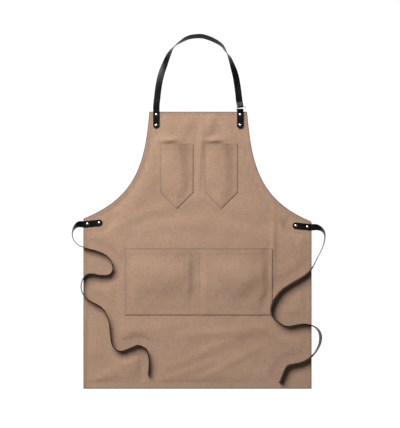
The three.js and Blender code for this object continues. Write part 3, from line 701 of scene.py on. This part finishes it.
def settled_waves():
    """Height of the settled waves at any place on the body, as a function of x and y."""
    step = 12.5
    spots_x, spots_y = np.arange(SKIRT_LEFT + 1, SKIRT_RIGHT, step), np.arange(HEM_Y + 1, TOP_Y, step)
    x, y = np.meshgrid(spots_x, spots_y)
    inside = np.minimum.reduce(from_edges(x, y)) > 0
    held = held_flat(x, y)
    grid = np.zeros_like(x)
    heights = settle_sheet(x, y, inside, held)
    grid[inside] = heights - np.percentile(heights, 20)
    for _ in range(3):
        padded = np.pad(grid, 1, mode="edge")
        rows = (padded[:-2] + 2 * padded[1:-1] + padded[2:]) / 4
        grid = (rows[:, :-2] + 2 * rows[:, 1:-1] + rows[:, 2:]) / 4
    grid *= (1 - held) * WAVE_HEIGHT / max(np.percentile(grid[inside], 95), 0.5)
    grid = np.clip(grid, -1, 2 * WAVE_HEIGHT)

    def waves(at_x, at_y):
        column = np.clip((at_x - spots_x[0]) / step, 0, len(spots_x) - 1.001)
        row = np.clip((at_y - spots_y[0]) / step, 0, len(spots_y) - 1.001)
        i, j = column.astype(int), row.astype(int)
        u, v = smooth(column - i), smooth(row - j)
        low = grid[j, i] * (1 - u) + grid[j, i + 1] * u
        high = grid[j + 1, i] * (1 - u) + grid[j + 1, i + 1] * u
        return low * (1 - v) + high * v

    return waves


cloth_waves = settled_waves()


def body_top(x, y):
    """Height of the body's upper face."""
    x, y = np.asarray(x, float), np.asarray(y, float)
    bottom, top, side = from_edges(x, y)
    hem = np.maximum(smooth((BOTTOM_HEM + 5 - bottom) / 8), smooth((TOP_HEM + 5 - top) / 8))
    hem = np.maximum(hem, smooth((SIDE_HEM + 5 - side) / 7))
    for place in RIVETS.values():
        away = np.hypot(x - place[0], y - place[1])
        hem = np.maximum(hem, smooth((34 - away) / 22))
    folds = 0.35 * wave_noise(x, y, 14, 55, 130, 3) + 0.12 * wave_noise(x, y, 16, 18, 40, 5)
    for mx, my, angle, length, width, height in SOFT_FOLDS:
        c, s = math.cos(math.radians(angle)), math.sin(math.radians(angle))
        along = ((x - mx) * c + (y - my) * s) / length
        across = ((y - my) * c - (x - mx) * s) / width
        folds = folds + FOLD_HEIGHT * height * np.exp(-along**2 - across**2)
    if cloth_waves is not None:
        folds = folds + cloth_waves(x, y)
    room = 1 - np.maximum(near_line(x, y, left_tie_line, TIE_DIP), near_line(x, y, right_tie_line, TIE_DIP))
    level = INNER_LEVEL + (CANVAS_TOP - INNER_LEVEL) * hem
    folds = np.where(folds > 0, folds * (0.12 + 0.88 * room), 0.6 * folds)
    folds = folds * (1 - 0.85 * hem)
    return np.clip(level + folds, CLOTH + 0.1, None)


# ---- sheets of cloth
def rounded(distance, radius):
    """How far an edge of that radius has dropped at a distance in from the rim."""
    inside = np.clip(radius - distance, 0, radius)
    return radius - np.sqrt(np.maximum(radius**2 - inside**2, 0))


def grid_sheet(name, x, y, top, under, edge):
    """A closed sheet from two grids of points that meet round the rim."""
    rows, columns = x.shape
    upper = np.stack([x, y, top], -1).reshape(-1, 3)
    lower = np.stack([x, y, under], -1).reshape(-1, 3)
    count = rows * columns
    j, i = np.mgrid[0:rows - 1, 0:columns - 1]
    a = (j * columns + i).ravel()
    quads = np.column_stack([a, a + 1, a + columns + 1, a + columns])
    faces = quads.tolist() + (quads[:, ::-1] + count).tolist()
    rim = [(0, k) for k in range(columns)] + [(k, columns - 1) for k in range(1, rows)]
    rim += [(rows - 1, k) for k in range(columns - 2, -1, -1)] + [(k, 0) for k in range(rows - 2, 0, -1)]
    rim = [r * columns + c for r, c in rim]
    for k, a in enumerate(rim):
        b = rim[(k + 1) % len(rim)]
        faces.append((b, a, a + count, b + count))
    marks = np.tile(edge.ravel(), 2)
    return new_object(name, np.vstack([upper, lower]), faces, marks)


def spaced(start, end, step, insets):
    """Coordinates from start to end, with extra ones at the given insets from both ends."""
    inner = max(insets)
    count = max(2, int(round((end - start - 2 * inner) / step)) + 1)
    between = np.linspace(start + inner, end - inner, count)
    outer = [v for v in insets if v < inner]
    return np.array(sorted([start + v for v in outer] + between.tolist() + [end - v for v in outer]))


def canvas_body():
    rim = [0, 0.12, 0.4, 0.85, 1.5, 2.6, 4.6]
    y = spaced(HEM_Y, TOP_Y, 3.4, rim + [6.2, TOP_SEAM, 9, 10.4, 12, 20.6, BOTTOM_SEAM, 23.2, 24.2, 26])
    insets = np.array(rim + [7.4, SEAM_INSET, 9.8, 11.4, 14])
    across = 200
    rows_x, rows_y = [], []
    for row in y:
        left, right = edge_x("left", row), edge_x("right", row)
        lean_left, lean_right = edge_lean("left", row), edge_lean("right", row)
        inner_left, inner_right = left + insets[-1] * lean_left, right - insets[-1] * lean_right
        middle = np.linspace(inner_left, inner_right, across)[1:-1]
        near_left, near_right = left + insets * lean_left, right - insets * lean_right
        rows_x.append(np.concatenate([near_left, middle, near_right[::-1]]))
        rows_y.append(np.full(len(rows_x[-1]), row))
    x, y = np.array(rows_x), np.array(rows_y)
    bottom, top_gap, side = from_edges(x, y)
    rim_distance = np.minimum.reduce([bottom, top_gap, side])
    hemmed = (bottom < BOTTOM_HEM) | (top_gap < TOP_HEM) | ((side < SIDE_HEM) & (y < CORNER_LEFT))
    top = body_top(x, y)
    under = np.where(hemmed, top - CLOTH - HEM_FOLD, top - CLOTH)
    rolled = smooth((1.6 - rim_distance) / 1.2)
    under = under * (1 - rolled) + (top - CLOTH - HEM_FOLD) * rolled
    under = np.maximum(under, LOWEST)
    radius = (CLOTH + HEM_FOLD) / 2
    top = top - rounded(rim_distance, radius)
    under = under + rounded(rim_distance, radius * 0.92)
    under = np.minimum(under, top - 0.05)
    # edge here is painted shade, along the body's rolled rim and in the grooves of the hem and side seams
    seams = near(bottom, BOTTOM_SEAM) + near(top_gap, TOP_SEAM) + near(side, SEAM_INSET)
    edge = np.maximum(smooth((3.8 - rim_distance) / 3.2), PAINTED_SEAM_SHADE * seams)
    body = grid_sheet("canvas_body", x, y, top, under, edge)
    finish_piece(body, CANVAS, replaces=["body_panel"])
    return body


def bib_pocket_top(x, y, centre, mouth, sizes):
    """Height of a bib pocket's upper face, and its distance in from the sewn edge."""
    half, side, point = sizes
    u = (x - centre) / half
    down = mouth - y
    steep = math.hypot(point, half)
    to_point = (side + point * (1 - np.abs(u)) - down) * half / steep
    sewn = np.minimum(half - np.abs(x - centre), to_point)
    ridge = 0.02 + 0.10 * down / 60
    left_flank = 1 - np.clip((ridge - u) / (1 + ridge), 0, 1) ** 2
    right_flank = smooth(1 - (u - ridge) / (0.9 - ridge))
    crest = np.where(u < ridge, left_flank, right_flank)
    open_end = 0.25 + 0.75 * np.exp(-down / 110)
    belly = POCKET_BULGE * crest * open_end * smooth((to_point + 4) / 46) * smooth((sewn - 1) / 6)
    rolls = 0.3 * wave_noise(x, y * 0.35, 8, 30, 60, 21) * smooth((sewn - 6) / 18)
    return body_top(x, y) + CLOTH * 2 + belly + rolls, sewn


def pocket_rows(mouth_insets, foot_insets, step, length):
    """Distances below the mouth, from 0 to 1 of the length, with named insets at either end in mm."""
    inner_top, inner_foot = max(mouth_insets), max(foot_insets)
    count = int((length - inner_top - inner_foot) / step)
    between = np.linspace(inner_top, length - inner_foot, count)[1:-1]
    return np.concatenate([mouth_insets, between, length - np.array(foot_insets)[::-1]])


def near(distance, line):
    """1 on a seam line, fading to 0 within 1.6 mm of it."""
    return smooth(1 - np.abs(distance - line) / 1.6)


def pocket_sheet(name, node, x, y, down, top_and_sewn, shaded, seams=0):
    """A pocket's cloth, doubled along its sewn edge and its mouth, with a rounded rim.

    shaded is 1 on the sides turned from the light, where the painted rim shade is deeper; seams is 1 on any
    seam besides the usual two, and gets painted groove shade."""
    top, sewn = top_and_sewn
    doubled = (sewn < ALLOWANCE) | (down < MOUTH_HEM)
    under = top - np.where(doubled, 2 * CLOTH - 0.1, CLOTH)
    rim = np.minimum(np.maximum(sewn, 0), down)
    radius = CLOTH * 0.9
    top = top - rounded(rim, radius)
    under = np.minimum(under + rounded(rim, radius * 0.8), top - 0.04)
    # painted shade along the pocket's rim, deeper on the sides turned from the light, and painted shade in
    # the seam grooves
    mark = smooth((2.4 - rim) / 1.9) * (0.55 + 0.45 * shaded)
    seams = np.maximum(seams, np.maximum(near(sewn, POCKET_SEAM), near(down, MOUTH_SEAM)))
    pocket = grid_sheet(name, x, y, top, under, np.maximum(mark, PAINTED_SEAM_SHADE * seams))
    finish_piece(pocket, POCKET_CANVAS, replaces=[node])
    return pocket


POCKET_RIM = [0, 0.15, 0.5, 1.1, 2, 3.4, 4.6, 6.2, 8.2]
MOUTH_ROWS = [0, 0.15, 0.5, 1.1, 2.2, 14.8, MOUTH_SEAM, 17.6, 18.4]


def bib_pocket(side):
    low, high = box_mm(f"bib_pocket_{side}")
    centre, half = (low[0] + high[0]) / 2, (high[0] - low[0]) / 2
    mouth, length = high[1], high[1] - low[1]
    straight = length - POCKET_POINT
    sizes = (half, straight, POCKET_POINT)
    insets = POCKET_RIM + [9]
    columns = spaced(centre - half, centre + half, 2.6, insets)
    columns = np.sort(np.unique(np.append(columns, centre)))
    rows = pocket_rows(MOUTH_ROWS, insets, 2.6, length)
    share = (rows / length)[:, None]
    x = np.tile(columns, (len(rows), 1))
    reach = straight + POCKET_POINT * (1 - np.abs(columns - centre) / half)
    fixed = np.minimum(rows[:, None], reach[None, :])
    bend = smooth((share - 0.2) / 0.5)
    down = fixed * (1 - bend) + share * reach[None, :] * bend
    mouth_part, foot_part = rows < 20, rows > length - 10
    down[mouth_part] = rows[mouth_part][:, None]
    down[foot_part] = reach[None, :] - (length - rows)[foot_part][:, None]
    y = mouth - down
    top_and_sewn = bib_pocket_top(x, y, centre, mouth, sizes)
    # right-hand edges, where the painted rim shade is deeper
    shaded = (x > centre) & (down > top_and_sewn[1])
    pocket = pocket_sheet(f"pocket_bib_{side}", f"bib_pocket_{side}", x, y, down, top_and_sewn, shaded)
    return centre, mouth, sizes


def front_pocket_top(x, y, low, high):
    """Height of the front pocket's upper face, and its distance in from the sewn edge."""
    down = high[1] - y
    sewn = np.minimum.reduce([x - low[0], high[0] - x, y - low[1]])
    from_seam = np.clip(np.abs(x - FRONT_SEAM) - FRONT_SEAM_HALF, 0, None)
    left_share, right_share = (x - low[0]) / (FRONT_SEAM - low[0]), (x - FRONT_SEAM) / (high[0] - FRONT_SEAM)
    share = np.where(x < FRONT_SEAM, left_share, right_share)
    crest = np.sin(np.clip(share, 0, 1) * math.pi) ** 0.7
    hang = np.exp(-((down - 88) / 60) ** 2) * 0.9 + 0.3 * np.exp(-down / 40)
    belly = FRONT_BULGE * crest * hang * smooth((sewn - 2) / 34) * smooth(from_seam / 22)
    held = np.maximum(near_line(x, y, right_tie_line, TIE_HOLD), near_line(x, y, left_tie_line, TIE_HOLD))
    belly *= 1 - 0.9 * held
    ripple = 0.6 * wave_noise(x * 0.6, y, 10, 40, 90, 9) * smooth((sewn - 6) / 30) * smooth(from_seam / 24)
    return body_top(x, y) + CLOTH * 2 + belly + ripple + 0.3, sewn


def front_pocket():
    low, high = box_mm("front_pocket")
    insets = POCKET_RIM + [10]
    extra = [FRONT_SEAM + s * (FRONT_SEAM_HALF + o) for s in (-1, 1) for o in (-1.4, 0, 1.4, 3)]
    columns = np.sort(np.append(spaced(low[0], high[0], 3.4, insets), extra))
    x, down = np.meshgrid(columns, pocket_rows(MOUTH_ROWS, insets, 3.4, high[1] - low[1]))
    y = high[1] - down
    # edges where the painted rim shade is deeper, and the middle seam that gets painted groove shade
    shaded = (high[0] - x < 3) | (y - low[1] < 3) | (down < 3)
    middle_seam = near(np.abs(x - FRONT_SEAM), FRONT_SEAM_HALF)
    top_and_sewn = front_pocket_top(x, y, low, high)
    pocket = pocket_sheet("pocket_front", "front_pocket", x, y, down, top_and_sewn, shaded, middle_seam)
    return low, high


def armhole_facing(side):
    """Bias strip behind an armhole edge, between the top hem and the side hem."""
    curve = ARMHOLES[side]
    low, high = box_mm(f"armhole_facing_{side}")
    keep = curve[(curve[:, 1] < high[1] - 0.2) & (curve[:, 1] > low[1] + 3)]
    keep = keep[np.abs(keep[:, 0]) < SKIRT_RIGHT - SIDE_HEM - 1.5]
    across = inward(keep, side)
    widths = np.array([1.9, 2.1, 2.5, 4, 6, 8, 9.2, 9.6, 9.8])
    x = keep[:, :1] + across[:, :1] * widths
    y = keep[:, 1:] + across[:, 1:] * widths
    if side == "right":
        x, y = x[:, ::-1], y[:, ::-1]
    rim = np.minimum(np.minimum(widths - widths[0], widths[-1] - widths), 2.0)[None, :] * np.ones_like(x)
    top = np.minimum(body_top(x, y) - CLOTH - 0.1 - rounded(rim, 0.3), 1.6)
    under = np.minimum(np.maximum(top - 1.1, LOWEST) + rounded(rim, 0.3), top - 0.05)
    # painted shade along the facing's rim
    mark = smooth((0.6 - rim) / 0.6)
    facing = grid_sheet(f"facing_{side}", x[::-1], y[::-1], top[::-1], under[::-1], mark)
    finish_piece(facing, CANVAS, replaces=[f"armhole_facing_{side}"])


# ---- stitching
def along_polyline(points, pitch):
    """Places and directions at an even pitch along a line of points."""
    points = np.asarray(points, float)
    run = lengths_along(points)
    count = max(2, int(run[-1] / pitch))
    spots = (np.arange(count) + 0.5) * run[-1] / count
    direction = at_spots(points, run, spots + 0.5) - at_spots(points, run, spots - 0.5)
    return at_spots(points, run, spots), direction / np.linalg.norm(direction, axis=1)[:, None]


def stitches(name, rows, surface, pitch=3.3, length=2.5, radius=0.3):
    """One mesh of short raised stitches that dive into the cloth at both ends."""
    stations = np.array([-0.5, -0.42, -0.2, 0.2, 0.42, 0.5])
    rise = np.array([-0.25, 0.05, 0.26, 0.26, 0.05, -0.25])
    fat = np.array([0.55, 0.85, 1, 1, 0.85, 0.55]) * radius
    corners = np.arange(6) * math.pi / 3
    one = tube_faces(len(stations), len(corners))
    points, faces = [], []
    for row in rows:
        place, direction = along_polyline(row, pitch)
        x = place[:, 0, None] + direction[:, 0, None] * stations * length
        y = place[:, 1, None] + direction[:, 1, None] * stations * length
        z = surface(x, y) + rise
        aside = np.column_stack([-direction[:, 1], direction[:, 0]])
        for k in range(len(place)):
            base = len(points)
            for s in range(len(stations)):
                for angle in corners:
                    out, up = math.cos(angle) * fat[s], math.sin(angle) * fat[s]
                    points.append((x[k, s] + aside[k, 0] * out, y[k, s] + aside[k, 1] * out, z[k, s] + up))
            faces += [tuple(base + corner for corner in face[::-1]) for face in one]
    finish_piece(new_object(name, points, faces), THREAD)


def body_seams():
    """Stitch rows of the bottom and top hems, the side hems and the armholes."""
    hem_line, top_line = HEM_Y + BOTTOM_SEAM, TOP_Y - TOP_SEAM
    left, right = SKIRT_LEFT + SEAM_INSET, SKIRT_RIGHT - SEAM_INSET
    rows = [[(left, hem_line), (right, hem_line)]]
    ends = edge_x("left", top_line) + ROW_END, edge_x("right", top_line) - ROW_END
    rows.append([(x, top_line) for x in ends])
    rows.append([(left, HEM_Y + ROW_END), (left, CORNER_LEFT - 8)])
    rows.append([(right, HEM_Y + ROW_END), (right, CORNER_RIGHT - 8)])
    for side, curve in ARMHOLES.items():
        offset = curve + inward(curve, side) * SEAM_INSET
        keep = (offset[:, 1] < TOP_Y - ROW_END) & (np.abs(offset[:, 0]) < SKIRT_RIGHT - 3)
        rows.append(offset[keep])
    return rows


def bib_pocket_seams(centre, mouth, sizes):
    """Stitch rows along a bib pocket's sewn edge and its mouth."""
    half, straight, point = sizes
    steep = math.hypot(point, half) / half
    left, right = centre - half + POCKET_SEAM, centre + half - POCKET_SEAM
    shoulder = mouth - straight - POCKET_SEAM * (steep - point / half)
    foot = (centre, mouth - straight - point + POCKET_SEAM * steep)
    outline = [(left, mouth - 1), (left, shoulder), foot, (right, shoulder), (right, mouth - 1)]
    hem = mouth - MOUTH_SEAM
    return [outline, [(centre - half + ROW_END, hem), (centre + half - ROW_END, hem)]]


def front_pocket_seams(low, high):
    """Stitch rows along the front pocket's sewn edge, its mouth and its middle."""
    left, right, foot = low[0] + POCKET_SEAM, high[0] - POCKET_SEAM, low[1] + POCKET_SEAM
    start, hem = high[1] - 1, high[1] - MOUTH_SEAM
    rows = [[(left, start), (left, foot), (right, foot), (right, start)]]
    rows.append([(low[0] + ROW_END, hem), (high[0] - ROW_END, hem)])
    for x in (FRONT_SEAM - FRONT_SEAM_HALF, FRONT_SEAM + FRONT_SEAM_HALF):
        rows.append([(x, start), (x, low[1] + ROW_END)])
    return rows


# ---- metal parts
def turned_part(name, profile, place, sides=40):
    """A lathe-turned piece: profile of (radius, height) from the axis round to the axis."""
    points = []
    for r, z in profile:
        for k in range(sides):
            a = 2 * math.pi * k / sides
            points.append((place[0] + r * math.cos(a), place[1] + r * math.sin(a), place[2] + z))
    return new_object(name, points, tube_faces(len(profile), sides))


def rivet(name):
    low, high = box_mm(f"rivet_cap_{name}")
    radius, base = (high[0] - low[0]) / 2, low[2]
    rise = high[2] - base
    turn = np.linspace(0, math.pi / 2, 9)
    dome = [(radius * 0.96 * math.cos(a), 0.62 + (rise - 0.62) * math.sin(a)) for a in turn[:-1]]
    rim = [(0.05, 0.1), (radius - 0.5, 0.0), (radius - 0.12, 0.1), (radius, 0.3), (radius - 0.06, 0.5)]
    cap = turned_part(f"cap_{name}", rim + dome + [(0.02, rise)], (*RIVETS[name][:2], base))
    finish_piece(cap, NICKEL, replaces=[f"rivet_cap_{name}"])
    low, high = box_mm(f"rivet_post_{name}")
    foot, stem, tall = (high[0] - low[0]) / 2, 1.4, high[2] - low[2]
    profile = [(0.3, 0.35), (0.9, 0.3), (1.2, 0.02), (foot - 0.35, 0.0), (foot - 0.08, 0.18), (foot, 0.45),
               (foot - 0.2, 0.85), (foot - 0.6, 1.0), (stem, 1.0), (stem, tall - 0.2), (stem - 0.3, tall)]
    post = turned_part(f"post_{name}", profile, (*RIVETS[name][:2], low[2]))
    finish_piece(post, NICKEL, replaces=[f"rivet_post_{name}"])


def metal_loop():
    """Closed wire loop with two long bars and rounded ends."""
    low, high = box_mm("strap_loop")
    middle = (low + high) / 2
    half_x, half_y = (high[0] - low[0]) / 2 - WIRE_RADIUS, LOOP_SPACING / 2
    middle[1] = FOLD_Y + half_y
    corner = 3.4
    path = []
    for cx, cy, first in ((1, 1, 0), (-1, 1, 90), (-1, -1, 180), (1, -1, 270)):
        middle_x, middle_y = cx * (half_x - corner), cy * (half_y - corner)
        for a in np.radians(np.linspace(first, first + 90, 9)):
            path.append((middle_x + corner * math.cos(a), middle_y + corner * math.sin(a)))
    closed = np.array(path + path[:1])
    run = lengths_along(closed)
    line = at_spots(closed, run, np.linspace(0, run[-1], 121)[:-1])
    ahead = np.roll(line, -1, 0) - np.roll(line, 1, 0)
    ahead /= np.linalg.norm(ahead, axis=1)[:, None]
    out = np.column_stack([ahead[:, 1], -ahead[:, 0]])
    points, faces = [], []
    sides, rings = 14, len(line)
    for i in range(rings):
        for k in range(sides):
            a = 2 * math.pi * k / sides
            reach, up = WIRE_RADIUS * math.cos(a), WIRE_RADIUS * math.sin(a)
            x, y = line[i] + out[i] * reach
            upper = float(smooth((y + half_y - WIRE_RADIUS) / (2 * half_y - 2 * WIRE_RADIUS)))
            y += upper * STRAP_LEAN * (x + LOOP_SHIFT)
            points.append((middle[0] + x, middle[1] + y, middle[2] + up))
    for i in range(rings):
        for k in range(sides):
            n, m = (k + 1) % sides, (i + 1) % rings
            faces.append((i * sides + k, m * sides + k, m * sides + n, i * sides + n))
    loop = new_object("metal_loop", points, faces)
    finish_piece(loop, NICKEL, body="neck_loop", replaces=["strap_loop"])


# ---- floor and light
def make_floor():
    mesh = bpy.data.meshes.new("floor")
    half, level = 6, -0.0003
    corners = [(-half, -half, level), (half, -half, level), (half, half, level), (-half, half, level)]
    mesh.from_pydata(corners, [], [(0, 1, 2, 3)])
    floor = bpy.data.objects.new("floor", mesh)
    scene.collection.objects.link(floor)
    m = Nodes("white_floor")
    m.shade("Base Color", (0.05, 0.05, 0.05, 1))
    m.shade("Roughness", 0.9)
    m.shade("Specular IOR Level", 0.1)
    m.shade("Emission Color", (1, 1, 1, 1))
    m.shade("Emission Strength", 1.0)
    mesh.materials.append(m.material)


KEY_PLACE = (-1.4, 1.9, 2.6)
KEY_SIZE = 2.5
KEY_WATTS = 230
SKY_LOW, SKY_HIGH = 0.22, 0.09  # strength near the horizon and overhead


def make_lights():
    data = bpy.data.lights.new("key", "AREA")
    data.shape = "SQUARE"
    data.size = KEY_SIZE
    data.energy = KEY_WATTS
    data.color = (1.0, 1.0, 0.995)
    key = bpy.data.objects.new("key", data)
    key.location = KEY_PLACE
    key.rotation_euler = (-Vector(KEY_PLACE)).to_track_quat("-Z", "Y").to_euler()
    scene.collection.objects.link(key)
    world = bpy.data.worlds.new("studio")
    scene.world = world
    world.use_nodes = True
    tree = world.node_tree
    background = tree.nodes["Background"]
    where = tree.nodes.new("ShaderNodeTexCoord")
    axes = tree.nodes.new("ShaderNodeSeparateXYZ")
    tree.links.new(where.outputs["Generated"], axes.inputs[0])
    ramp = tree.nodes.new("ShaderNodeMapRange")
    tree.links.new(axes.outputs["Z"], ramp.inputs["Value"])
    ramp.inputs["From Min"].default_value, ramp.inputs["From Max"].default_value = 0.2, 1.0
    ramp.inputs["To Min"].default_value, ramp.inputs["To Max"].default_value = SKY_LOW, SKY_HIGH
    tree.links.new(ramp.outputs["Result"], background.inputs["Strength"])
    background.inputs["Color"].default_value = (1, 1, 1, 1)


# ---- assembly
make_floor()
make_lights()
body = canvas_body()
left_pocket = bib_pocket("left")
right_pocket = bib_pocket("right")
front = front_pocket()
for side in ("left", "right"):
    armhole_facing(side)
stitches("stitches_body", body_seams(), body_top)

for side, (centre, mouth, sizes) in (("left", left_pocket), ("right", right_pocket)):
    rows = bib_pocket_seams(centre, mouth, sizes)
    stitches(f"stitches_bib_{side}", rows, lambda x, y: bib_pocket_top(x, y, centre, mouth, sizes)[0])
stitches("stitches_front", front_pocket_seams(*front), lambda x, y: front_pocket_top(x, y, *front)[0])

for name in PLACES:
    rivet(name)
metal_loop()
